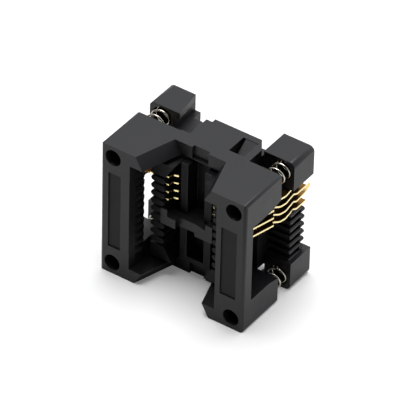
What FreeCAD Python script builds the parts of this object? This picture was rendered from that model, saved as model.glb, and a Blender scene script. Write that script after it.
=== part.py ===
import FreeCAD, Part
import math
import os

# Open-top adapter socket for small-outline chips, lying on its long side.
# All sizes are in millimetres. Points are first given as distances: "side" from
# the nearer side face, "y" back from the cover's face, "z" up from the resting
# face. place() then puts the origin under the middle of the whole part.

# Overall
SEAT_WIDTH = 2.7
PITCH = 1.27
SLOTS = 10
FITTED = 4
END_MARGIN = 4.4
CLEARANCE = 0.1
OVERLAP = 0.5
PAST = 1.0

# Cover: end plates, front bars, wings
COVER_DEPTH = 8.2
COVER_CORNER_R = 0.45
PLATE_THICK = 2.0
MOUTH_SIDE = 5.57
MOUTH_TAPER = 1.95
MOUTH_DEPTH = 6.2
MOUTH_FUNNEL = 1.05
BRIDGE_DEPTH = 2.2
BAR_WIDTH = 4.64
BAR_THICK = 1.77
WING_WIDTH = 4.67
WING_HEIGHT = 4.6
WING_CHAMFER_DEPTH = 2.3
WING_CHAMFER_RISE = 0.5
TRAVEL = 2.2

# Cover: the comb behind each front bar, with its cam face
COMB_DEPTH = 3.76
COMB_FLUSH_Y = 1.1
WEB_REACH = 0.25
WEB_BACK_SIDE = 4.15
RIB_REACH = 0.55
RIB_REACH_Y = 2.37
RIB_BACK_SIDE = 4.47
RIB_THICK = 0.9
RIB_ROUND = 0.26
CAM_TIP_SIDE = 3.6
CAM_TIP_LIP = 0.1
CAM_ROOT_SIDE = 2.65

# Cover: tongue, latch window, notch, labels, holes
TONGUE_SIDE = 8.4
TONGUE_WIDTH = 9.65
TONGUE_DEPTH = 4.6
TONGUE_STEP = 0.95
TONGUE_STEP_DEPTH = 0.7
TONGUE_BEVEL_SIDE = 1.2
TONGUE_BEVEL_DEPTH = 1.8
WINDOW_SIDE = 6.3
WINDOW_WIDTH = 2.37
WINDOW_DEPTH = 3.4
NOTCH_WIDTH = 2.6
NOTCH_DEPTH = 0.5
NOTCH_LEDGE = 0.12
CORNER_BORE_D = 2.5
LABEL_DEPTH = 0.15
LABEL_LEFT_SIDE = 1.23
LABEL_LEFT_WIDTH = 2.0
LABEL_LEFT_HEIGHT = 12.5
LABEL_RIGHT_SIDE = 1.33
LABEL_RIGHT_WIDTH = 2.5
LABEL_RIGHT_HEIGHT = 11.2

# Springs
SPRING_SIDE = 1.95
SPRING_END = 1.85
COIL_RADIUS = 1.27
WIRE_D = 0.25
WIRE_SIDES = 4
COILS = 7
POCKET_D = 3.1
COVER_POCKET = 3.0
BASE_POCKET = 2.0

# Base: floor, outer combs, feet
BASE_PROUD = 0.025
BASE_CORNER_R = 0.8
BODY_END = 2.63
FLOOR_Y = 9.5
FLOOR_SIDE = 4.3
FLOOR_BACK = 14.25
FIN_THICK = 0.85
OUTER_FIN_SIDE = 0.25
OUTER_FIN_Y = 10.6
OUTER_FIN_CHAMFER = 0.3
FOOT_Y = 11.1
FOOT_BACK = 15.8
FOOT_WIDTH = 4.85
FOOT_NECK = 4.15
FOOT_LIP = 1.0
FOOT_HEIGHT = 4.5
SHELF_WIDTH = 5.0
SHELF_Y = 11.6
GROOVE_WIDTH = 1.9
GROOVE_DEPTH = 2.8

# Base: latch hook
HOOK_WIDTH = 1.85
HOOK_DROP = 0.65
HOOK_FLAT = 0.25
HOOK_SLOPE = 0.6
HOOK_NOSE_Y = 9.0
HOOK_GAP = 0.06

# Contact guide and nest rails
GUIDE_FIN_SIDE = 5.5
GUIDE_FIN_WIDTH = 2.25
GUIDE_FIN_Y = 3.76
GUIDE_END_LEAN = 1.3
GUIDE_PLATE_Y = 8.6
RAIL_Y = 5.4
RAIL_SIDE = 9.125
RAIL_WIDTH = 1.15
NEST_WALL = 0.8
NEST_FLOOR = 0.9

# Stop block for shorter chips
STOP_GAP = 2.05
STOP_HEIGHT = 1.5
STOP_BAR_Y = 4.3
STOP_STEM = 2.2
STOP_LEFT_Y = 3.4
STOP_LEFT_SIDE = 7.355
STOP_LEFT_WIDTH = 2.42
STOP_LEFT_EAR_WIDTH = 1.07
STOP_LEFT_EAR_RISE = 1.1
STOP_RIGHT_SIDE = 8.175
STOP_RIGHT_WIDTH = 2.85
STOP_RIGHT_DROP = 0.6
STOP_RIGHT_EAR_WIDTH = 1.1
STOP_RIGHT_EAR_RISE = 0.6
STOP_DIP_SIDE = 9.325
STOP_DIP_WIDTH = 1.5
STOP_DIP = 0.35

# Contacts, one flat plate each: plate edge, neck, sprung beam with its S-bend
CONTACT_THICK = 0.3
PLATE_EDGE = 0.55
SHOULDER_Y = 12.85
NECK_Y = 12.5
NECK_STEP = 0.28
NECK_FLARE = 0.15
NECK_FLARE_Y = 11.9
NECK_FOOT_Y = 12.8
BEAM_WIDTH = 0.95
BEND_Y = 10.32
BEND_TOP_Y = 9.25
BEND_TOP_STEP = 0.21
BEND_RADIUS = 1.6
HEEL_SIDE = 0.97
HEEL_Y = 8.12
HEEL_NOTCH = 0.48

# Contacts: lever, crotch, jaw
LEVER_Y = 4.25
LEVER_SIDE = 1.99
LEVER_WIDTH = 1.34
LEVER_NECK_SIDE = 1.77
LEVER_NECK_Y = 5.0
LEVER_NECK_RADIUS = 1.0
NOSE_SIDE = 2.83
NOSE_Y = 4.93
CROTCH_SIDE = 2.26
CROTCH_TOP_Y = 6.48
CROTCH_Y = 7.7
CROTCH_WIDTH = 0.7
ARM_SIDE = 6.85
ARM_Y = 4.85
ARM_RADIUS = 1.0
ARM_ROOT_SIDE = 3.27
ARM_ROOT_Y = 9.12
ARM_ROOT_RADIUS = 1.2
ARM_ROOT_STEP = 0.35
JAW_FRONT_Y = 4.22
JAW_FRONT_SIDE = 7.5
JAW_FRONT_WIDTH = 0.45
JAW_FRONT_SLOPE = 0.08
JAW_BACK_SIDE = 7.6
JAW_BACK_Y = 5.22
TOE_SIDE = 8.9
TOE_ROOT_SIDE = 8.3
TOE_Y = 5.3
TOE_WIDTH = 0.32
TOE_SLOPE = 0.18
TOE_TIP_CUT = 0.05
TOE_TAPER = 0.06

# Contacts: tails
CONTACT_BACK = 15.05
TAIL_LENGTH = 1.95
TAIL_WIDTH = 0.62
TAIL_TIP = 0.42
TAIL_LEAN = 0.3
TAIL_NOSE = 0.2
TAIL_NOSE_CUT = 0.12
INNER_TAIL_SIDE = 3.1

WIDTH = SEAT_WIDTH + 2 * (RAIL_SIDE + RAIL_WIDTH)
HEIGHT = SLOTS * PITCH + 2 * END_MARGIN
DEPTH = CONTACT_BACK + TAIL_LENGTH
HALF_W = WIDTH / 2
MID_Z = HEIGHT / 2
PLATE_Z = HEIGHT - PLATE_THICK
BODY_TOP = HEIGHT - BODY_END
BRIDGE_BACK = MOUTH_DEPTH + BRIDGE_DEPTH
WINDOW_Y = BRIDGE_BACK + CLEARANCE
CATCH_Y = WINDOW_Y + WINDOW_DEPTH - HOOK_GAP
GUIDE_FIN_END = GUIDE_FIN_SIDE + GUIDE_FIN_WIDTH
SLOT_Z = [MID_Z + PITCH * (i - (SLOTS - 1) / 2) for i in range(SLOTS)]
FIN_Z = [MID_Z + PITCH * (i - (SLOTS - 2) / 2) for i in range(SLOTS - 1)]
END_FIN_Z = FIN_Z[-1] + PITCH


def place(shape):
    moved = shape.copy()
    moved.translate(FreeCAD.Vector(0, -DEPTH / 2, 0))
    return moved


def left(side, y):
    return (side - HALF_W, y)


def swept(corners, along):
    return Part.Face(Part.makePolygon(corners + corners[:1])).extrude(along)


def prism(points, z0, z1):
    corners = [FreeCAD.Vector(x, y, z0) for x, y in points]
    return swept(corners, FreeCAD.Vector(0, 0, z1 - z0))


def across(points, x0, x1):
    corners = [FreeCAD.Vector(x0, y, z) for y, z in points]
    return swept(corners, FreeCAD.Vector(x1 - x0, 0, 0))


def through(points, y0, y1):
    corners = [FreeCAD.Vector(x, y0, z) for x, z in points]
    return swept(corners, FreeCAD.Vector(0, y1 - y0, 0))


def block(x0, x1, y0, y1, z0, z1):
    corner = FreeCAD.Vector(min(x0, x1), min(y0, y1), min(z0, z1))
    return Part.makeBox(abs(x1 - x0), abs(y1 - y0), abs(z1 - z0), corner)


def side_block(s0, s1, y0, y1, z0, z1):
    return block(s0 - HALF_W, s1 - HALF_W, y0, y1, z0, z1)


def rod(x, z, diameter, y0, y1):
    start = FreeCAD.Vector(x, y0, z)
    return Part.makeCylinder(diameter / 2, y1 - y0, start, FreeCAD.Vector(0, 1, 0))


def mirrored(shape):
    return shape.mirror(FreeCAD.Vector(0, 0, 0), FreeCAD.Vector(1, 0, 0))


def other_end(shape):
    turned = shape.copy()
    turned.rotate(FreeCAD.Vector(0, 0, MID_Z), FreeCAD.Vector(0, 1, 0), 180)
    return turned


def joined(shapes):
    return shapes[0].multiFuse(shapes[1:]).removeSplitter()


def save(shape, name):
    solid = place(shape)
    if not solid.isValid() or len(solid.Solids) != 1:
        raise ValueError(name + " is not one valid solid")
    solid.Solids[0].exportStep("parts/" + name + ".step")


# Cover
# One end plate: its mouth is a trapezium that narrows towards the bridge and
# also narrows inwards through the plate's thickness, to lead a chip in.
def mouth(inset, z):
    slant = math.hypot(MOUTH_TAPER, MOUTH_DEPTH)
    shift = inset * slant / MOUTH_DEPTH
    wide = HALF_W - MOUTH_SIDE - shift
    narrow = wide - MOUTH_TAPER
    corners = [(-wide, 0), (wide, 0), (narrow, MOUTH_DEPTH), (-narrow, MOUTH_DEPTH)]
    points = [FreeCAD.Vector(x, y, z) for x, y in corners]
    return Part.makePolygon(points + points[:1])


def cover_end():
    plate = block(-HALF_W, HALF_W, 0, COVER_DEPTH, PLATE_Z, HEIGHT)
    funnel = Part.makeLoft([mouth(MOUTH_FUNNEL, PLATE_Z), mouth(0, HEIGHT)], True, True)
    right = TONGUE_SIDE + TONGUE_WIDTH
    tip = BRIDGE_BACK + TONGUE_DEPTH - CLEARANCE
    step_y = tip - TONGUE_STEP_DEPTH
    outline = [
        left(TONGUE_SIDE, MOUTH_DEPTH + OVERLAP),
        left(TONGUE_SIDE, step_y),
        left(TONGUE_SIDE + TONGUE_STEP, step_y),
        left(TONGUE_SIDE + TONGUE_STEP, tip),
        left(right - TONGUE_BEVEL_SIDE, tip),
        left(right, tip - TONGUE_BEVEL_DEPTH),
        left(right, MOUTH_DEPTH + OVERLAP),
    ]
    tongue = prism(outline, PLATE_Z, HEIGHT)
    half = HALF_W - MOUTH_SIDE - MOUTH_TAPER + OVERLAP
    bridge = block(-half, half, MOUTH_DEPTH, BRIDGE_BACK, PLATE_Z, HEIGHT)
    return joined([plate.cut(funnel), bridge, tongue])


# A wing reaches in from the end plate beside the combs. Its inner back corner is
# relieved to pass the floor of the base when the cover is pressed.
def wing_pair():
    under = HEIGHT - WING_HEIGHT
    wing = side_block(0, WING_WIDTH, 0, COVER_DEPTH, under, HEIGHT)
    bevel = [
        (COVER_DEPTH - WING_CHAMFER_DEPTH, under),
        (COVER_DEPTH, under + WING_CHAMFER_RISE),
        (COVER_DEPTH + PAST, under),
    ]
    relief = side_block(
        FLOOR_SIDE - CLEARANCE,
        WING_WIDTH + PAST,
        FLOOR_Y - TRAVEL - CLEARANCE,
        COVER_DEPTH + PAST,
        under - PAST,
        BODY_TOP + CLEARANCE,
    )
    wing = wing.cut([across(bevel, -HALF_W - PAST, WING_WIDTH - HALF_W + PAST), relief])
    return [wing, mirrored(wing)]


# The web runs the height of the bar; the ribs stand proud of it between the
# contacts, and both share the slanted cam face that spreads the levers.
def comb_profile(reach, back_side):
    return [
        left(0, 0),
        left(BAR_WIDTH, 0),
        left(BAR_WIDTH + WEB_REACH, COMB_FLUSH_Y),
        left(BAR_WIDTH + reach, RIB_REACH_Y),
        left(back_side, COMB_DEPTH),
        left(CAM_TIP_SIDE, COMB_DEPTH - CAM_TIP_LIP),
        left(CAM_ROOT_SIDE, BAR_THICK),
        left(0, BAR_THICK),
    ]


def rib(z):
    profile = comb_profile(RIB_REACH, RIB_BACK_SIDE)
    body = prism(profile, z - RIB_THICK / 2, z + RIB_THICK / 2)
    tip = BAR_WIDTH + RIB_REACH - HALF_W
    edges = []
    for edge in body.Edges:
        ends = [v.Point for v in edge.Vertexes]
        level = abs(ends[0].z - ends[1].z) < 1e-6
        if level and any(abs(p.x - tip) < 1e-6 for p in ends):
            edges.append(edge)
    return body.makeFillet(RIB_ROUND, edges)


def comb():
    web = prism(comb_profile(WEB_REACH, WEB_BACK_SIDE), PLATE_THICK - OVERLAP, PLATE_Z + OVERLAP)
    half = joined([web] + [rib(z) for z in [FIN_Z[0] - PITCH] + FIN_Z + [END_FIN_Z]])
    return [half, mirrored(half)]


def spring_axes():
    near = SPRING_SIDE - HALF_W
    for end, z in (("upper", HEIGHT - SPRING_END), ("lower", SPRING_END)):
        for hand, x in (("left", near), ("right", -near)):
            yield end + "_" + hand, x, z


def label(side, width, height):
    low = MID_Z - height / 2
    return side_block(side, side + width, -PAST, LABEL_DEPTH, low, low + height)


def notch():
    half = NOTCH_WIDTH / 2
    back = MOUTH_DEPTH + NOTCH_DEPTH
    return block(-half, half, MOUTH_DEPTH - PAST, back, PLATE_Z + NOTCH_LEDGE, HEIGHT + PAST)


def hook_ramp(y):
    return HEIGHT - HOOK_DROP - HOOK_SLOPE * (CATCH_Y - HOOK_FLAT - y)


# The latch window, with a ramp cut under its front edge so that the edge
# passes over the hook when the cover is pressed home.
def window():
    x1 = HALF_W - WINDOW_SIDE
    x0 = x1 - WINDOW_WIDTH
    hole = block(x0, x1, WINDOW_Y, WINDOW_Y + WINDOW_DEPTH, PLATE_Z - PAST, HEIGHT + PAST)
    edge_z = hook_ramp(WINDOW_Y + TRAVEL) + CLEARANCE
    ramp_start = WINDOW_Y - (edge_z - PLATE_Z + PAST) / HOOK_SLOPE
    wedge = [
        (WINDOW_Y + CLEARANCE, PLATE_Z - PAST),
        (WINDOW_Y + CLEARANCE, edge_z + HOOK_SLOPE * CLEARANCE),
        (ramp_start, PLATE_Z - PAST),
    ]
    return hole.fuse(across(wedge, x0, x1))


def is_outer_edge(edge):
    ends = [v.Point for v in edge.Vertexes]
    outer_x = all(abs(abs(p.x) - HALF_W) < 1e-6 for p in ends)
    outer_z = all(min(p.z, HEIGHT - p.z) < 1e-6 for p in ends)
    return outer_x and outer_z and edge.Length > COVER_DEPTH / 2


def cover():
    top = [cover_end()] + wing_pair()
    body = joined(top + [other_end(s) for s in top] + comb())
    body = body.makeFillet(COVER_CORNER_R, [e for e in body.Edges if is_outer_edge(e)])
    cuts = [window(), notch()]
    cuts += [other_end(s) for s in cuts]
    cuts.append(label(LABEL_LEFT_SIDE, LABEL_LEFT_WIDTH, LABEL_LEFT_HEIGHT))
    cuts.append(mirrored(label(LABEL_RIGHT_SIDE, LABEL_RIGHT_WIDTH, LABEL_RIGHT_HEIGHT)))
    for name, x, z in spring_axes():
        cuts.append(rod(x, z, CORNER_BORE_D, -PAST, COVER_DEPTH + PAST))
        cuts.append(rod(x, z, POCKET_D, COVER_DEPTH - COVER_POCKET, COVER_DEPTH + PAST))
    return body.cut(cuts)


# A fin between two contact slots, both its ends rounded
def fin(s0, s1, z, y0, y1):
    r = FIN_THICK / 2
    ends = [rod(s - HALF_W, z, FIN_THICK, y0, y1) for s in (s0 + r, s1 - r)]
    return joined([side_block(s0 + r, s1 - r, y0, y1, z - r, z + r)] + ends)


# Base
def outer_comb():
    bevel = [
        left(OUTER_FIN_SIDE - PAST, OUTER_FIN_Y - PAST),
        left(OUTER_FIN_SIDE + OUTER_FIN_CHAMFER + PAST, OUTER_FIN_Y - PAST),
        left(OUTER_FIN_SIDE - PAST, OUTER_FIN_Y + OUTER_FIN_CHAMFER + PAST),
    ]
    root = FLOOR_SIDE + OVERLAP
    fins = [fin(OUTER_FIN_SIDE, root, z, OUTER_FIN_Y, FLOOR_BACK) for z in FIN_Z]
    wall = side_block(
        OUTER_FIN_SIDE, root, OUTER_FIN_Y, FLOOR_BACK, END_FIN_Z - FIN_THICK / 2, BODY_TOP
    )
    far_wall = wall.mirror(FreeCAD.Vector(0, 0, MID_Z), FreeCAD.Vector(0, 0, 1))
    return [s.cut(prism(bevel, 0, HEIGHT)) for s in fins + [wall, far_wall]]


def is_outer_corner(edge):
    ends = [v.Point for v in edge.Vertexes]
    outer_x = all(abs(p.x + HALF_W + BASE_PROUD) < 1e-6 for p in ends)
    return outer_x and all(abs(p.z - HEIGHT) < 1e-6 for p in ends)


# A foot's inner side is straight, or narrows towards the back under a lip.
def foot(lipped):
    low = HEIGHT - FOOT_HEIGHT
    width = FOOT_NECK if lipped else FOOT_WIDTH
    pieces = [
        side_block(-BASE_PROUD, width, FOOT_Y, FOOT_BACK, low, HEIGHT),
        side_block(-BASE_PROUD, SHELF_WIDTH, SHELF_Y, FOOT_BACK, low, BODY_TOP),
    ]
    if lipped:
        lip = [
            left(-BASE_PROUD, FOOT_Y),
            left(FOOT_WIDTH, FOOT_Y),
            left(FOOT_NECK, FOOT_BACK),
            left(-BASE_PROUD, FOOT_BACK),
        ]
        pieces.append(prism(lip, HEIGHT - FOOT_LIP, HEIGHT))
    body = joined(pieces)
    return body.makeFillet(BASE_CORNER_R, [e for e in body.Edges if is_outer_corner(e)])


def hook():
    x1 = HALF_W - WINDOW_SIDE - (WINDOW_WIDTH - HOOK_WIDTH) / 2
    profile = [
        (CATCH_Y, BODY_TOP - OVERLAP),
        (CATCH_Y, HEIGHT - HOOK_DROP),
        (CATCH_Y - HOOK_FLAT, HEIGHT - HOOK_DROP),
        (HOOK_NOSE_Y, hook_ramp(HOOK_NOSE_Y)),
        (HOOK_NOSE_Y, BODY_TOP + CLEARANCE),
        (FLOOR_Y, BODY_TOP + CLEARANCE),
        (FLOOR_Y, BODY_TOP - OVERLAP),
    ]
    return across(profile, x1 - HOOK_WIDTH, x1)


def base():
    floor = side_block(FLOOR_SIDE, WIDTH - FLOOR_SIDE, FLOOR_Y, FLOOR_BACK, BODY_END, BODY_TOP)
    half = outer_comb()
    end = [foot(True), mirrored(foot(False)), hook()]
    body = joined([floor] + half + [mirrored(s) for s in half] + end + [other_end(s) for s in end])
    groove = side_block(
        TONGUE_SIDE - GROOVE_WIDTH - CLEARANCE,
        TONGUE_SIDE - CLEARANCE,
        SHELF_Y,
        FLOOR_BACK + PAST,
        BODY_TOP - GROOVE_DEPTH,
        BODY_TOP + PAST,
    )
    cuts = [groove, other_end(groove)]
    for name, x, z in spring_axes():
        cuts.append(rod(x, z, POCKET_D, FOOT_Y - PAST, FOOT_Y + BASE_POCKET))
    return body.cut(cuts)


# Contact guide: two inner combs on one plate, set on the floor of the base. The
# fin at each end is wider and its inner side leans.
def guide():
    low = END_FIN_Z - FIN_THICK / 2
    back = GUIDE_PLATE_Y + OVERLAP
    lean = [
        (GUIDE_FIN_SIDE - HALF_W, low),
        (GUIDE_FIN_END - HALF_W, low),
        (GUIDE_FIN_END + GUIDE_END_LEAN - HALF_W, BODY_TOP),
        (GUIDE_FIN_SIDE - HALF_W, BODY_TOP),
    ]
    half = [fin(GUIDE_FIN_SIDE, GUIDE_FIN_END, z, GUIDE_FIN_Y, back) for z in FIN_Z]
    half.append(through(lean, GUIDE_FIN_Y, back))
    half.append(half[-1].mirror(FreeCAD.Vector(0, 0, MID_Z), FreeCAD.Vector(0, 0, 1)))
    outer = HALF_W - GUIDE_FIN_SIDE
    plate = block(-outer, outer, GUIDE_PLATE_Y, FLOOR_Y, BODY_END, BODY_TOP)
    return joined([plate] + half + [mirrored(s) for s in half])


# Nest: two rails that carry the chip, tied by a thin floor and one end wall
def nest():
    rail_end = RAIL_SIDE + RAIL_WIDTH
    rail = side_block(RAIL_SIDE, rail_end, RAIL_Y, GUIDE_PLATE_Y, BODY_END, BODY_TOP)
    half = HALF_W - RAIL_SIDE
    wall = block(-half, half, RAIL_Y, GUIDE_PLATE_Y, BODY_END, BODY_END + NEST_WALL)
    front = GUIDE_PLATE_Y - NEST_FLOOR
    floor = block(-half, half, front, GUIDE_PLATE_Y, BODY_END, BODY_TOP)
    return joined([rail, mirrored(rail), wall, floor])


# Stop block: a bar across the rails with a stem pressed in between them. Its
# left end reaches forward and over the comb; its right end is deeper.
def stop_block():
    top = SLOT_Z[SLOTS - FITTED] - STOP_GAP
    low = top - STOP_HEIGHT
    bar = GUIDE_FIN_END + CLEARANCE - HALF_W
    stem = SEAT_WIDTH / 2
    over = GUIDE_FIN_Y - CLEARANCE
    outer = STOP_LEFT_SIDE - HALF_W
    inner = outer + STOP_LEFT_WIDTH
    ear = outer + STOP_LEFT_EAR_WIDTH
    right = HALF_W - STOP_RIGHT_SIDE
    deep = low - STOP_RIGHT_DROP
    ear_top = top + STOP_RIGHT_EAR_RISE
    body = joined(
        [
            block(bar, right, STOP_BAR_Y, RAIL_Y, low, top),
            block(-stem, stem, STOP_BAR_Y, RAIL_Y + STOP_STEM, low, top),
            block(outer, inner, STOP_LEFT_Y, over, low, top),
            block(outer, ear, STOP_LEFT_Y, over, low, top + STOP_LEFT_EAR_RISE),
            block(bar, inner, STOP_LEFT_Y, RAIL_Y, low, top),
            block(right - STOP_RIGHT_WIDTH, right, STOP_BAR_Y, RAIL_Y, deep, top),
            block(right - STOP_RIGHT_EAR_WIDTH, right, STOP_BAR_Y, RAIL_Y, deep, ear_top),
        ]
    )
    dip_end = HALF_W - STOP_DIP_SIDE
    dip_start = dip_end - STOP_DIP_WIDTH
    dip = [(dip_start, top), (dip_end, top + PAST), (dip_end, top - STOP_DIP)]
    return body.cut(through(dip, STOP_BAR_Y - PAST, RAIL_Y + PAST))


# Contacts
# An outline of corners (side, y, radius), each with a radius turned into an arc
def bent_outline(corners, z):
    points = [FreeCAD.Vector(side - HALF_W, y, z) for side, y, radius in corners]
    edges = []
    stops = []
    for i, here in enumerate(points):
        radius = corners[i][2]
        back = (points[i - 1] - here).normalize()
        on = (points[(i + 1) % len(points)] - here).normalize()
        half = back.getAngle(on) / 2
        start = here + back * (radius / math.tan(half))
        stop = here + on * (radius / math.tan(half))
        if radius > 0:
            middle = (back + on).normalize()
            crest = here + middle * (radius / math.sin(half) - radius)
            edges.append(Part.Arc(start, crest, stop).toShape())
        stops.append((start, stop))
    lines = [Part.makeLine(stops[i - 1][1], stops[i][0]) for i in range(len(points))]
    return Part.Face(Part.Wire(Part.sortEdges(edges + lines)[0]))


def tail(side):
    near = side + TAIL_LEAN + (TAIL_WIDTH - TAIL_TIP)
    return [
        (side + TAIL_WIDTH, CONTACT_BACK, 0),
        (near + TAIL_TIP, DEPTH - TAIL_NOSE, 0),
        (near + TAIL_TIP - TAIL_NOSE_CUT, DEPTH, 0),
        (near + TAIL_NOSE_CUT, DEPTH, 0),
        (near, DEPTH - TAIL_NOSE, 0),
        (side + TAIL_LEAN / 2, CONTACT_BACK, 0),
    ]


def contact_corners(outer_tail):
    edge = PLATE_EDGE
    inner = INNER_TAIL_SIDE + TAIL_WIDTH
    lever_end = LEVER_SIDE + LEVER_WIDTH
    outer = [
        (edge, SHOULDER_Y, 0.12),
        (edge + NECK_STEP, NECK_Y, 0.2),
        (edge, BEND_Y, BEND_RADIUS),
        (edge + BEND_TOP_STEP, BEND_TOP_Y, 0.8),
        (HEEL_SIDE + HEEL_NOTCH, HEEL_Y + HEEL_NOTCH, 0.15),
        (HEEL_SIDE, HEEL_Y, 0.12),
        (LEVER_NECK_SIDE, LEVER_NECK_Y, LEVER_NECK_RADIUS),
        (LEVER_SIDE, LEVER_Y, 0.15),
        (lever_end, LEVER_Y, 0.1),
        (NOSE_SIDE, NOSE_Y, 0.4),
        (CROTCH_SIDE, CROTCH_TOP_Y, 0.8),
        (CROTCH_SIDE, CROTCH_Y, 0.3),
        (CROTCH_SIDE + CROTCH_WIDTH, CROTCH_Y, 0.4),
    ]
    jaw = [
        (ARM_SIDE, ARM_Y, ARM_RADIUS),
        (JAW_FRONT_SIDE, JAW_FRONT_Y, 0.35),
        (JAW_FRONT_SIDE + JAW_FRONT_WIDTH, JAW_FRONT_Y + JAW_FRONT_SLOPE, 0.12),
        (TOE_ROOT_SIDE, TOE_Y - TOE_SLOPE, 0.2),
        (TOE_SIDE, TOE_Y, 0.08),
        (TOE_SIDE - TOE_TIP_CUT, TOE_Y + TOE_WIDTH, 0.08),
        (TOE_ROOT_SIDE, TOE_Y + TOE_WIDTH + TOE_TAPER, 0.5),
        (JAW_BACK_SIDE, JAW_BACK_Y, 0.4),
    ]
    body = [
        (ARM_ROOT_SIDE, ARM_ROOT_Y, ARM_ROOT_RADIUS),
        (edge + BEAM_WIDTH + BEND_TOP_STEP, ARM_ROOT_Y + ARM_ROOT_STEP, 0.4),
        (edge + BEAM_WIDTH, BEND_Y, 0.8),
        (edge + BEAM_WIDTH + NECK_FLARE, NECK_FLARE_Y, 0.6),
        (inner, NECK_FOOT_Y, 0.3),
    ]
    if outer_tail:
        return outer + jaw + body + [(inner, CONTACT_BACK, 0)] + tail(edge)
    return outer + jaw + body + tail(inner - TAIL_WIDTH) + [(edge, CONTACT_BACK, 0)]


def contact(z, outer_tail):
    outline = bent_outline(contact_corners(outer_tail), z - CONTACT_THICK / 2)
    return outline.extrude(FreeCAD.Vector(0, 0, CONTACT_THICK))


# Springs
def spring(x, z):
    y0 = COVER_DEPTH - COVER_POCKET
    length = FOOT_Y + BASE_POCKET - y0 - WIRE_D
    helix = Part.makeHelix(length / COILS, length, COIL_RADIUS)
    turns = [2 * math.pi * k / WIRE_SIDES for k in range(WIRE_SIDES + 1)]
    section = [
        FreeCAD.Vector(COIL_RADIUS + WIRE_D / 2 * math.cos(a), 0, WIRE_D / 2 * math.sin(a))
        for a in turns
    ]
    wire = Part.Wire(helix).makePipeShell([Part.makePolygon(section)], True, True)
    wire.rotate(FreeCAD.Vector(0, 0, 0), FreeCAD.Vector(1, 0, 0), -90)
    wire.translate(FreeCAD.Vector(x, y0 + WIRE_D / 2, z))
    return wire


os.makedirs("parts", exist_ok=True)
save(base(), "base_housing")
save(guide(), "contact_guide")
save(cover(), "cover")
save(nest(), "nest")
save(stop_block(), "stop_block")
for number in range(FITTED):
    slot = SLOTS - 1 - number
    blade = contact(SLOT_Z[slot], number % 2 == 0)
    save(blade, "contact_left_%d" % (number + 1))
    save(mirrored(blade), "contact_right_%d" % (number + 1))
for name, x, z in spring_axes():
    save(spring(x, z), "spring_" + name)
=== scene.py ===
import bmesh
import bpy
import math
from mathutils import Matrix, Vector


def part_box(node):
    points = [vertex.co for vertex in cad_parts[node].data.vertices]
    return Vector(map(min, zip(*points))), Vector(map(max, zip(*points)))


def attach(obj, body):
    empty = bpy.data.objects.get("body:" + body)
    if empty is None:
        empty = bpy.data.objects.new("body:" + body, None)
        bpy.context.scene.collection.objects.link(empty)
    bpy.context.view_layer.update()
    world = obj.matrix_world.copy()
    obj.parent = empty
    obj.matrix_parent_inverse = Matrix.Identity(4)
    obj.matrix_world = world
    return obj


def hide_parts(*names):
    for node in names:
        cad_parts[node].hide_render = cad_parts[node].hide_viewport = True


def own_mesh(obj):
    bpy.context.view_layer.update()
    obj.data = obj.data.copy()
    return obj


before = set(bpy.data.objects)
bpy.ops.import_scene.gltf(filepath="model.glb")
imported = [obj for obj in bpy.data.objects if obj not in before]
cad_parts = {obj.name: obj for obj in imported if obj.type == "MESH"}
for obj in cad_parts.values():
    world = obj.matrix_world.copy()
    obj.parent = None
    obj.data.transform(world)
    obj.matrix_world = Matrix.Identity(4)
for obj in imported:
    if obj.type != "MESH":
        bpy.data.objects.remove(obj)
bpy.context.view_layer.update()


# Base housing: the lower moulding, glass-filled black plastic, one shot in a
# steel mould. It has four feet and two outer combs, and its edges carry the
# small radius and the matt spark-eroded skin of the mould. Their radii are
# painted a lighter, glossier grey as a painted highlight.
MM = 0.001
MOULD_EDGE = 0.07 * MM
WELD = 0.0005 * MM
FLAT_ANGLE = math.radians(1.5)
SHARP_ANGLE = math.radians(28)
SKIN_BLACK = (0.0034, 0.0035, 0.0044, 1)
SKIN_GREY = (0.0054, 0.0056, 0.0068, 1)
EDGE_HIGHLIGHT_GREY = (0.011, 0.011, 0.012, 1)
SKIN_ROUGH = 0.42
EDGE_ROUGH = 0.36
PLASTIC_SHINE = 0.36
CLOUD_SIZE = 1.9 * MM
GRAIN_SIZE = 0.09 * MM
FIBRE_SIZE = 0.3 * MM
SKIN_RELIEF = 0.012 * MM


class Signal:
    """A shader socket that Python's operators join with Math nodes."""

    def __init__(self, tree, socket):
        self.tree = tree
        self.socket = socket

    def node(self, kind, sockets, output=0, **settings):
        made = self.tree.nodes.new(kind)
        for name, value in settings.items():
            setattr(made, name, value)
        for name, value in sockets.items():
            if isinstance(value, Signal):
                self.tree.links.new(value.socket, made.inputs[name])
            else:
                made.inputs[name].default_value = value
        return Signal(self.tree, made.outputs[output])

    def maths(self, operation, first, second):
        return self.node("ShaderNodeMath", {0: first, 1: second}, operation=operation)

    def __add__(self, other):
        return self.maths("ADD", self, other)

    def __sub__(self, other):
        return self.maths("SUBTRACT", self, other)

    def __rsub__(self, other):
        return self.maths("SUBTRACT", other, self)

    def __mul__(self, other):
        return self.maths("MULTIPLY", self, other)

    __radd__ = __add__
    __rmul__ = __mul__

    def noise(self, size, detail):
        sockets = {"Vector": self, "Scale": 1 / size, "Detail": detail, "Roughness": 0.55}
        return self.node("ShaderNodeTexNoise", sockets)

    def blend(self, low, high):
        sockets = {"Factor": self, 6: low, 7: high}
        return self.node("ShaderNodeMix", sockets, output=2, data_type="RGBA")

    def relief(self, depth, strength):
        sockets = {"Height": self, "Distance": depth, "Strength": strength}
        return self.node("ShaderNodeBump", sockets)


def new_material(name):
    """An empty material with its shader, and its Object coordinates."""
    material = bpy.data.materials.new(name)
    material.use_nodes = True
    tree = material.node_tree
    shader = tree.nodes["Principled BSDF"]
    place = tree.nodes.new("ShaderNodeTexCoord")
    return material, shader, Signal(tree, place.outputs["Object"])


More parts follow.
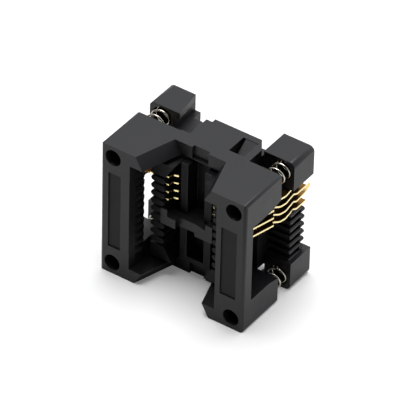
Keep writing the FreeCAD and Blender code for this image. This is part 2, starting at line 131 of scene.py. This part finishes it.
def feed(shader, **sockets):
    """Sets or links a shader's sockets, named with _ for a space."""
    for name, value in sockets.items():
        socket = shader.inputs[name.replace("_", " ")]
        if isinstance(value, Signal):
            value.tree.links.new(value.socket, socket)
        else:
            socket.default_value = value


def moulded_plastic(name, low, high, rough, shine=PLASTIC_SHINE):
    """Matt plastic with broad clouds of tone, a fine grain and glass fibres."""
    material, shader, place = new_material(name)
    cloud = place.noise(CLOUD_SIZE, 4.0)
    grain = place.noise(GRAIN_SIZE, 2.0)
    fibre = place.noise(FIBRE_SIZE, 3.0)
    tone = (cloud * 0.65 + grain * 0.35).blend(low, high)
    height = grain * 0.6 + fibre * 0.4
    feed(
        shader,
        Base_Color=tone,
        Roughness=rough + (cloud - 0.5) * 0.12 + (grain - 0.5) * 0.1,
        Normal=height.relief(SKIN_RELIEF, 0.55),
        Specular_IOR_Level=shine,
    )
    return material


skin = moulded_plastic("moulded_skin", SKIN_BLACK, SKIN_GREY, SKIN_ROUGH)
# The radii's skin is a lighter grey: a painted highlight on every rounded edge.
edge_highlight = moulded_plastic("painted_edge_highlight", SKIN_GREY, EDGE_HIGHLIGHT_GREY, EDGE_ROUGH)


def settle(piece):
    """Turns a piece with its modifiers into a plain mesh."""
    shaped = piece.evaluated_get(bpy.context.evaluated_depsgraph_get())
    piece.data = bpy.data.meshes.new_from_object(shaped)
    piece.modifiers.clear()


def rounded_copy(node, name, radius, face, rim, cutters):
    """A copy of a CAD node whose sharp edges carry a small radius."""
    mesh = bpy.data.meshes.new(name)
    form = bmesh.new()
    form.from_mesh(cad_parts[node].data)
    bmesh.ops.remove_doubles(form, verts=form.verts, dist=WELD)
    bmesh.ops.dissolve_limit(form, angle_limit=FLAT_ANGLE, verts=form.verts, edges=form.edges)
    form.to_mesh(mesh)
    form.free()
    mesh.materials.append(face)
    mesh.materials.append(rim)
    for polygon in mesh.polygons:
        polygon.material_index = 0
    piece = bpy.data.objects.new(name, mesh)
    bpy.context.scene.collection.objects.link(piece)
    for cutter in cutters:
        cut = piece.modifiers.new("cut", "BOOLEAN")
        cut.object = cutter
        cut.solver = "EXACT"
    bevel = piece.modifiers.new("radius", "BEVEL")
    bevel.limit_method = "ANGLE"
    bevel.angle_limit = SHARP_ANGLE
    bevel.width = radius
    bevel.segments = 2
    # The radius takes the rim material, by default the painted edge highlight.
    bevel.material = 1
    bevel.use_clamp_overlap = True
    bevel.harden_normals = True
    settle(piece)
    return piece


def dress(
    node,
    name,
    body="base",
    radius=MOULD_EDGE,
    face=skin,
    rim=edge_highlight,
    cutters=(),
):
    """Stands a rounded copy in for a CAD node."""
    piece = rounded_copy(node, name, radius, face, rim, cutters)
    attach(piece, body)
    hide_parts(node)
    return piece


COVER_FACE = -8.5
HALF_WIDTH = 11.625


def solid(name, outline, front, back):
    """A prism over (x, z) points, its ends at two depths behind the cover's face,
    all in millimetres."""
    form = bmesh.new()
    near_y = (front + COVER_FACE) * MM
    spots = [form.verts.new((x * MM, near_y, z * MM)) for x, z in outline]
    sheet = form.faces.new(spots)
    pulled = bmesh.ops.extrude_face_region(form, geom=[sheet])["geom"]
    deep = [v for v in pulled if isinstance(v, bmesh.types.BMVert)]
    bmesh.ops.translate(form, verts=deep, vec=(0, (back - front) * MM, 0))
    bmesh.ops.recalc_face_normals(form, faces=form.faces)
    mesh = bpy.data.meshes.new(name)
    form.to_mesh(mesh)
    form.free()
    piece = bpy.data.objects.new(name, mesh)
    bpy.context.scene.collection.objects.link(piece)
    return piece


def box(name, side, rise, depth):
    (x0, x1), (z0, z1) = sorted(side), sorted(rise)
    return solid(name, [(x0, z0), (x1, z0), (x1, z1), (x0, z1)], *depth)


# The solid's combs are cut off between the feet and made finer below, and so is the
# step before the feet. A dark pocket opens beside each latch.
MIDDLE_Z = 10.75
PAST = 1
COMB_ROOT = 7.335
COMB_RISE = (4.505, 16.995)
COMB_DEPTH = (10, 16)
STEP_RISE = (2.5, 19)
STEP_DEPTH = (10, 11.095)
POCKET_SIDE = (5.35, 6.74)
POCKET_RISE = (6.2, 8.3)
POCKET_DEPTH = (10.4, 13.5)
cutters = []
for turn in (-1, 1):
    comb_side = (turn * COMB_ROOT, turn * (HALF_WIDTH + PAST))
    pocket_side = [turn * x for x in POCKET_SIDE]
    pocket_rise = [MIDDLE_Z + turn * z for z in POCKET_RISE]
    cutters.append(box("comb_cutter", comb_side, COMB_RISE, COMB_DEPTH))
    cutters.append(box("step_cutter", comb_side, STEP_RISE, STEP_DEPTH))
    cutters.append(box("pocket_cutter", pocket_side, pocket_rise, POCKET_DEPTH))
dress("base_housing", "housing_shell", cutters=cutters)
for cutter in cutters:
    bpy.data.objects.remove(cutter)


# Outer combs: the rounded fins that part the contacts behind the cover, and a
# stub behind each empty place. They belong to the housing's own moulding.
PITCH = 1.27
SLOTS = 10
EMPTY = 6
FIN = {"thick": 0.6, "side": 0.55, "front": 11.6, "back": 14.25}
FITTED_FIN = {"thick": 0.6, "side": 1.05, "front": 11.6, "back": 14.25}
STUB = {"thick": 0.66, "side": 0.5, "front": 14.0, "back": 14.93}
ROUND_STEPS = 8
SINK = 0.1


def row_tree():
    """Geometry Nodes that repeat a piece along Z."""
    tree = bpy.data.node_groups.new("row", "GeometryNodeTree")
    face = tree.interface
    face.new_socket("Geometry", in_out="INPUT", socket_type="NodeSocketGeometry")
    face.new_socket("Count", in_out="INPUT", socket_type="NodeSocketInt")
    face.new_socket("Step", in_out="INPUT", socket_type="NodeSocketVector")
    face.new_socket("Plastic", in_out="INPUT", socket_type="NodeSocketMaterial")
    face.new_socket("Geometry", in_out="OUTPUT", socket_type="NodeSocketGeometry")
    given = tree.nodes.new("NodeGroupInput").outputs
    line = tree.nodes.new("GeometryNodeMeshLine")
    copies = tree.nodes.new("GeometryNodeInstanceOnPoints")
    real = tree.nodes.new("GeometryNodeRealizeInstances")
    paint = tree.nodes.new("GeometryNodeSetMaterial")
    result = tree.nodes.new("NodeGroupOutput")
    tree.links.new(given["Count"], line.inputs["Count"])
    tree.links.new(given["Step"], line.inputs["Offset"])
    tree.links.new(line.outputs["Mesh"], copies.inputs["Points"])
    tree.links.new(given["Geometry"], copies.inputs["Instance"])
    tree.links.new(copies.outputs["Instances"], real.inputs["Geometry"])
    tree.links.new(real.outputs["Geometry"], paint.inputs["Geometry"])
    tree.links.new(given["Plastic"], paint.inputs["Material"])
    tree.links.new(paint.outputs["Geometry"], result.inputs["Geometry"])
    return tree


def input_keys(tree):
    """The identifiers of a tree's inputs by name."""
    return {s.name: s.identifier for s in tree.interface.items_tree if s.in_out == "INPUT"}


row = row_tree()
row_inputs = input_keys(row)


def comb_row(name, turn, size, z, count):
    """A row of fins with rounded ends, sunk a little into the housing."""
    half = size["thick"] / 2
    centre = HALF_WIDTH - size["side"] - half
    outline = [(turn * (COMB_ROOT - SINK), z - half)]
    for step in range(ROUND_STEPS + 1):
        angle = math.pi * (step / ROUND_STEPS - 0.5)
        outline.append((turn * (centre + half * math.cos(angle)), z + half * math.sin(angle)))
    outline.append((turn * (COMB_ROOT - SINK), z + half))
    piece = solid(name, outline, size["front"], size["back"])
    bevel = piece.modifiers.new("radius", "BEVEL")
    bevel.limit_method = "ANGLE"
    bevel.angle_limit = SHARP_ANGLE
    bevel.width = MOULD_EDGE
    bevel.segments = 2
    copies = piece.modifiers.new("row", "NODES")
    copies.node_group = row
    copies[row_inputs["Count"]] = count
    copies[row_inputs["Step"]] = (0, 0, PITCH * MM)
    copies[row_inputs["Plastic"]] = skin
    settle(piece)
    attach(piece, "base")


for side, turn in (("left", -1), ("right", 1)):
    first = MIDDLE_Z - PITCH * SLOTS / 2
    comb_row(f"comb_fins_{side}", turn, FIN, first, EMPTY + 1)
    fitted = first + PITCH * (EMPTY + 1)
    comb_row(f"comb_fitted_{side}", turn, FITTED_FIN, fitted, SLOTS - EMPTY)
    comb_row(f"comb_stubs_{side}", turn, STUB, first + PITCH / 2, EMPTY)


# Latch hooks: the steep, full-height heads that show in the cover's windows, one
# at each end of the housing and of the same moulding. Their slopes are painted
# paler as painted light falling on them.
LIT_SLOPE_DARK = (0.056, 0.056, 0.059, 1)
LIT_SLOPE_GREY = (0.082, 0.082, 0.086, 1)
SLOPE_TILT = 0.3
HOOK = [
    (18.6, 10.35),
    (20.06, 10.45),
    (20.25, 10.75),
    (21.35, 11.75),
    (21.45, 11.84),
    (18.6, 11.84),
]
HOOK_X = (3.35, 5.2)
HEIGHT = 21.5
lit_slope = moulded_plastic("painted_light_slope", LIT_SLOPE_DARK, LIT_SLOPE_GREY, EDGE_ROUGH)
for end, turn in (("upper", 1), ("lower", -1)):
    form = bmesh.new()
    sides = []
    for x in HOOK_X:
        spots = [(turn * x, y + COVER_FACE, z if turn > 0 else HEIGHT - z) for z, y in HOOK]
        sides.append([form.verts.new([v * MM for v in spot]) for spot in spots])
    near, far = sides
    form.faces.new(near)
    form.faces.new(far)
    for k in range(len(HOOK)):
        form.faces.new((near[k], near[k - 1], far[k - 1], far[k]))
    bmesh.ops.recalc_face_normals(form, faces=form.faces)
    mesh = bpy.data.meshes.new("hook")
    form.to_mesh(mesh)
    form.free()
    mesh.materials.append(skin)
    mesh.materials.append(lit_slope)
    # Faces that slope outward and forward get the painted light.
    for polygon in mesh.polygons:
        outward = polygon.normal.z * turn > SLOPE_TILT
        forward = polygon.normal.y < -SLOPE_TILT
        polygon.material_index = 1 if outward and forward else 0
    piece = bpy.data.objects.new(f"latch_hook_{end}", mesh)
    bpy.context.scene.collection.objects.link(piece)
    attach(piece, "base")


# Contact guide: the two inner combs on their thin plate, moulded in the same
# plastic and set on the floor of the housing. Its faces are painted darker and
# less shiny as painted shade deep in the socket.
# Painted shade: a darker base and a weaker specular than the moulded skin.
PAINTED_SHADE_BLACK = (0.0015, 0.0015, 0.002, 1)
DULL_ROUGH = 0.5
PAINTED_SHADE_SHINE = 0.19
painted_shade = moulded_plastic("painted_shade_skin", PAINTED_SHADE_BLACK, SKIN_BLACK, DULL_ROUGH, PAINTED_SHADE_SHINE)
dress("contact_guide", "guide_shell", face=painted_shade, rim=skin)


# Nest: the two rails that carry the chip, with a thin floor between them,
# moulded in the same plastic and set on the guide's plate. Its faces carry the
# same painted shade.
dress("nest", "nest_shell", face=painted_shade, rim=skin)


# Stop block: the small moulded bar that fills the seat below a short chip. It
# is pressed in between the rails.
dress("stop_block", "stop_block_shell")


# Contacts: eight flat stampings of spring bronze with a thin gold plating. The
# sheared edges are painted bright as a painted highlight and the flat faces dark as
# painted shade. The faces carry fine rolling marks, and the ends of the tails are
# painted paler as painted light.
STAMPED_EDGE = 0.03 * MM
GOLD_SHADE_DEEP = (0.15, 0.065, 0.015, 1)
GOLD_SHADE_WARM = (0.36, 0.19, 0.045, 1)
GOLD_HIGHLIGHT = (1.0, 0.85, 0.44, 1)
GOLD_LIT_TAIL = (0.82, 0.6, 0.26, 1)
# The tails' ends beyond this depth are painted paler as painted light.
TAIL_START = 6.5 * MM
TAIL_FADE = 0.8 * MM
ROLL_MARK = 0.05 * MM
ROLL_STRETCH = (1, 0.12, 1)
ROLL_RELIEF = 0.003 * MM
PLATING_CLOUD = 0.8 * MM
FACE_ROUGH = 0.3
RIM_ROUGH = 0.16
FACE_TILT = 0.9


def plated(name, low, high, rough):
    """Gold with rolling marks along Y, clouded between two tones, and beyond TAIL_START
    blended into one paler tone: painted light on the tails' lit ends.
    """
    material, shader, place = new_material(name)
    stretch = place.node("ShaderNodeMapping", {"Vector": place, "Scale": ROLL_STRETCH})
    rolled = stretch.noise(ROLL_MARK, 2.0)
    cloud = place.noise(PLATING_CLOUD, 3.0)
    depth = place.node("ShaderNodeSeparateXYZ", {"Vector": place}, output="Y")
    ends = {"Value": depth, "From Min": TAIL_START, "From Max": TAIL_START + TAIL_FADE}
    lit_tail = place.node("ShaderNodeMapRange", ends)
    feed(
        shader,
        Base_Color=lit_tail.blend((cloud * 0.7 + rolled * 0.3).blend(low, high), GOLD_LIT_TAIL),
        Roughness=rough + (rolled - 0.5) * 0.12,
        Normal=rolled.relief(ROLL_RELIEF, 0.4),
        Metallic=1.0,
    )
    return material


gold_shaded_face = plated("gold_shaded_face", GOLD_SHADE_DEEP, GOLD_SHADE_WARM, FACE_ROUGH)
gold_highlight_rim = plated("gold_highlight_rim", GOLD_HIGHLIGHT, GOLD_HIGHLIGHT, RIM_ROUGH)

for side in ("left", "right"):
    for number in range(1, SLOTS - EMPTY + 1):
        blade = dress(
            f"contact_{side}_{number}",
            f"blade_{side}_{number}",
            f"jaws_{side}",
            STAMPED_EDGE,
            gold_shaded_face,
            gold_highlight_rim,
        )
        # Flat faces get the painted shade, edges the painted highlight.
        for polygon in blade.data.polygons:
            polygon.material_index = 0 if abs(polygon.normal.z) > FACE_TILT else 1


# Springs: four coils of round stainless wire, closed at both ends. Each sits in
# a pocket of the housing and a pocket of the cover.
WIRE = 0.25 * MM
TURNS = 7
TURN_STEPS = 40
WIRE_SIDES = 10
CLOSED = 0.09
STEEL_CLOUD = 0.7 * MM
DRAW_MARK = 0.04 * MM
DRAW_RELIEF = 0.002 * MM
STEEL_ROUGH = 0.24
NICKEL_DARK = (0.34, 0.31, 0.25, 1)
NICKEL_PALE = (0.86, 0.83, 0.74, 1)

spring_steel, steel_shader, steel_place = new_material("spring_wire")
steel_cloud = steel_place.noise(STEEL_CLOUD, 3.0)
steel_scratch = steel_place.noise(DRAW_MARK, 2.0)
feed(
    steel_shader,
    Base_Color=steel_cloud.blend(NICKEL_DARK, NICKEL_PALE),
    Roughness=STEEL_ROUGH + (steel_scratch - 0.5) * 0.16,
    Normal=steel_scratch.relief(DRAW_RELIEF, 0.3),
    Metallic=1.0,
)


def coil_tree():
    """Geometry Nodes that wind round wire along +Y, with both ends closed."""
    tree = bpy.data.node_groups.new("coil", "GeometryNodeTree")
    face = tree.interface
    for name in ("Radius", "Wire", "Length", "Turns", "Closed"):
        face.new_socket(name, in_out="INPUT", socket_type="NodeSocketFloat")
    face.new_socket("Centre", in_out="INPUT", socket_type="NodeSocketVector")
    face.new_socket("Steel", in_out="INPUT", socket_type="NodeSocketMaterial")
    face.new_socket("Geometry", in_out="OUTPUT", socket_type="NodeSocketGeometry")
    given = tree.nodes.new("NodeGroupInput").outputs

    def add(kind, sockets, output=0, **settings):
        made = tree.nodes.new(kind)
        for name, value in settings.items():
            setattr(made, name, value)
        for name, value in sockets.items():
            if isinstance(value, (int, float)):
                made.inputs[name].default_value = value
            else:
                tree.links.new(value, made.inputs[name])
        return made.outputs[output]

    def calc(operation, first, second=0.0):
        return add("ShaderNodeMath", {0: first, 1: second}, operation=operation)

    line = add("GeometryNodeCurvePrimitiveLine", {})
    points = TURNS * TURN_STEPS + 1
    path = add("GeometryNodeResampleCurve", {"Curve": line, "Count": points})
    along = add("GeometryNodeSplineParameter", {})
    turned = calc("MULTIPLY", along, given["Turns"])
    angle = calc("MULTIPLY", turned, 2 * math.pi)
    span = calc("SUBTRACT", 1.0, calc("MULTIPLY", given["Closed"], 2.0))
    shifted = calc("DIVIDE", calc("SUBTRACT", along, given["Closed"]), span)
    held = add("ShaderNodeClamp", {"Value": shifted})
    thick = given["Wire"]
    half = calc("MULTIPLY", thick, 0.5)
    lay = calc("ADD", calc("MULTIPLY", turned, thick), half)
    stretch = calc("SUBTRACT", given["Length"], calc("MULTIPLY", thick, TURNS + 1))
    rise = calc("ADD", calc("MULTIPLY", held, stretch), lay)
    ring = calc("SUBTRACT", given["Radius"], half)
    across = calc("MULTIPLY", ring, calc("COSINE", angle))
    up = calc("MULTIPLY", ring, calc("SINE", calc("SUBTRACT", 0.0, angle)))
    spot = add("ShaderNodeCombineXYZ", {"X": across, "Y": rise, "Z": up})
    moved = add("ShaderNodeVectorMath", {0: spot, 1: given["Centre"]}, operation="ADD")
    wound = add("GeometryNodeSetPosition", {"Geometry": path, "Position": moved})
    disc = {"Resolution": WIRE_SIDES, "Radius": half}
    section = add("GeometryNodeCurvePrimitiveCircle", disc)
    sweep = {"Curve": wound, "Profile Curve": section, "Fill Caps": True}
    wire = add("GeometryNodeCurveToMesh", sweep)
    whole = add("GeometryNodeRealizeInstances", {"Geometry": wire})
    done = add("GeometryNodeSetMaterial", {"Geometry": whole, "Material": given["Steel"]})
    result = tree.nodes.new("NodeGroupOutput")
    tree.links.new(done, result.inputs["Geometry"])
    return tree


coil = coil_tree()
coil_inputs = input_keys(coil)


def wound_spring(node, name):
    """A coil that fills its CAD node's box."""
    low, high = [Vector(corner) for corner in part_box(node)]
    piece = bpy.data.objects.new(name, bpy.data.meshes.new(name))
    bpy.context.scene.collection.objects.link(piece)
    winder = piece.modifiers.new("coil", "NODES")
    winder.node_group = coil
    centre = (low + high) / 2
    length = high.y - low.y
    values = {
        "Radius": (high.x - low.x) / 2,
        "Wire": WIRE,
        "Length": length,
        "Turns": float(TURNS),
        "Closed": CLOSED,
        "Centre": (centre.x, low.y, centre.z),
        "Steel": spring_steel,
    }
    for key, value in values.items():
        winder[coil_inputs[key]] = value
    settle(piece)
    for polygon in piece.data.polygons:
        polygon.use_smooth = True
    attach(piece, "base")
    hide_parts(node)
    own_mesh(piece)


for place in ("upper_left", "upper_right", "lower_left", "lower_right"):
    wound_spring(f"spring_{place}", f"coil_{place}")


# Cover: the open frame that is pressed down to open the jaws, moulded in the
# same plastic. Its tongues slide over the housing and latch on two hooks. The
# two shallow panels of its front bars and the tongues' long sides are left rougher
# and painted darker and less shiny as painted shade: on the panels it stands
# partly for the missing moulded text and partly for the shade of the recess and
# the text, and on the tongues' sides for the shade in their slots.
PANEL_SIDE = 7
PANEL_DEPTH = (0.05, 0.2)
TONGUE_SIDE = (5.1, 6.6)
TONGUE_FRONT = 8.6
TONGUE_RISE = 7.5
SIDE_TILT = 0.5
cover_piece = dress("cover", "cover_shell", "cover")
cover_piece.data.materials.append(painted_shade)
# Panel faces and tongue sides take the painted shade skin.
for polygon in cover_piece.data.polygons:
    spot = polygon.center / MM
    side, depth = abs(spot.x), spot.y - COVER_FACE
    in_panel = side > PANEL_SIDE and PANEL_DEPTH[0] < depth < PANEL_DEPTH[1]
    on_tongue = depth > TONGUE_FRONT and abs(spot.z - MIDDLE_Z) > TONGUE_RISE
    beside = TONGUE_SIDE[0] < side < TONGUE_SIDE[1] and abs(polygon.normal.x) > SIDE_TILT
    if (in_panel and polygon.normal.y < -FACE_TILT) or (on_tongue and beside):
        polygon.material_index = 2


# Floor: a plain white sheet, wide enough for every view. It keeps the soft
# shadow and shows as white to the camera.
FLOOR_HALF = 1.5
PAPER_WHITE = (0.9, 0.9, 0.9, 1)
PAPER_ROUGH = 0.9
PAPER_GLOW = 0.14
floor_mesh = bpy.data.meshes.new("floor")
corners = [(-FLOOR_HALF, -FLOOR_HALF, 0), (FLOOR_HALF, -FLOOR_HALF, 0)]
corners += [(FLOOR_HALF, FLOOR_HALF, 0), (-FLOOR_HALF, FLOOR_HALF, 0)]
floor_mesh.from_pydata(corners, [], [(0, 1, 2, 3)])
floor = bpy.data.objects.new("floor", floor_mesh)
bpy.context.scene.collection.objects.link(floor)
paper, paper_shader, paper_place = new_material("white_sheet")
seen = paper_place.node("ShaderNodeLightPath", {}, output="Is Camera Ray")
feed(
    paper_shader,
    Base_Color=PAPER_WHITE,
    Roughness=PAPER_ROUGH,
    Emission_Color=(1, 1, 1, 1),
    Emission_Strength=seen * PAPER_GLOW,
)
floor_mesh.materials.append(paper)


# Light: a pale room that is darker on the camera's side, and one large soft lamp
# above.
ROOM_WHITE = (0.96, 0.98, 1, 1)
ROOM_LEVEL = 0.64
ROOM_SLOPE = 0.74
ROOM_RANGE = (0.06, 1.4)
DIFFUSE_CUT = 0.6
LAMP_WIDTH = 0.34
LAMP_WATTS = 2.0
LAMP_PLACE = Vector((-0.03, 0.035, 0.42))
LAMP_AIM = Vector((0, 0, 0.01))
world = bpy.data.worlds.new("room")
bpy.context.scene.world = world
world.use_nodes = True
backdrop = world.node_tree.nodes["Background"]
backdrop.inputs["Color"].default_value = ROOM_WHITE
room = Signal(world.node_tree, None)
by_diffuse = room.node("ShaderNodeLightPath", {}, output="Is Diffuse Ray")
heading = room.node("ShaderNodeTexCoord", {}, output="Generated")
toward_back = room.node("ShaderNodeSeparateXYZ", {"Vector": heading}, output="Y")
slope = ROOM_LEVEL + toward_back * ROOM_SLOPE
limits = {"Value": slope, "Min": ROOM_RANGE[0], "Max": ROOM_RANGE[1]}
level = room.node("ShaderNodeClamp", limits) * (1 - by_diffuse * DIFFUSE_CUT)
world.node_tree.links.new(level.socket, backdrop.inputs["Strength"])
lamp_data = bpy.data.lights.new("lamp_above", "AREA")
lamp_data.shape = "DISK"
lamp_data.size = LAMP_WIDTH
lamp_data.energy = LAMP_WATTS
lamp = bpy.data.objects.new("lamp_above", lamp_data)
lamp.location = LAMP_PLACE
lamp.rotation_mode = "QUATERNION"
lamp.rotation_quaternion = (LAMP_AIM - LAMP_PLACE).to_track_quat("-Z", "Y")
bpy.context.scene.collection.objects.link(lamp)


# Camera: the photograph's own view, from in front, to the right and above.
AZIMUTH = math.radians(33.962)
ELEVATION = math.radians(38.78)
ROLL = math.radians(1.526)
DISTANCE = 636.37 * MM
TARGET = Vector((1.261, -2.0505, 12.262)) * MM
LENS = 415.4
SENSOR = 36
CLIP_START = 0.01
across = Vector((math.cos(AZIMUTH), math.sin(AZIMUTH), 0))
back = Vector(
    (
        math.sin(AZIMUTH) * math.cos(ELEVATION),
        -math.cos(AZIMUTH) * math.cos(ELEVATION),
        math.sin(ELEVATION),
    )
)
upward = back.cross(across)
turned_x = math.cos(ROLL) * across + math.sin(ROLL) * upward
turned_y = math.cos(ROLL) * upward - math.sin(ROLL) * across
camera_data = bpy.data.cameras.new("camera")
camera_data.lens = LENS
camera_data.sensor_width = SENSOR
camera_data.clip_start = CLIP_START
camera = bpy.data.objects.new("camera", camera_data)
camera.matrix_world = Matrix.Translation(TARGET + back * DISTANCE) @ Matrix(
    (turned_x, turned_y, back)
).transposed().to_4x4()
bpy.context.scene.collection.objects.link(camera)
bpy.context.scene.camera = camera
bpy.context.scene.view_settings.view_transform = "Standard"
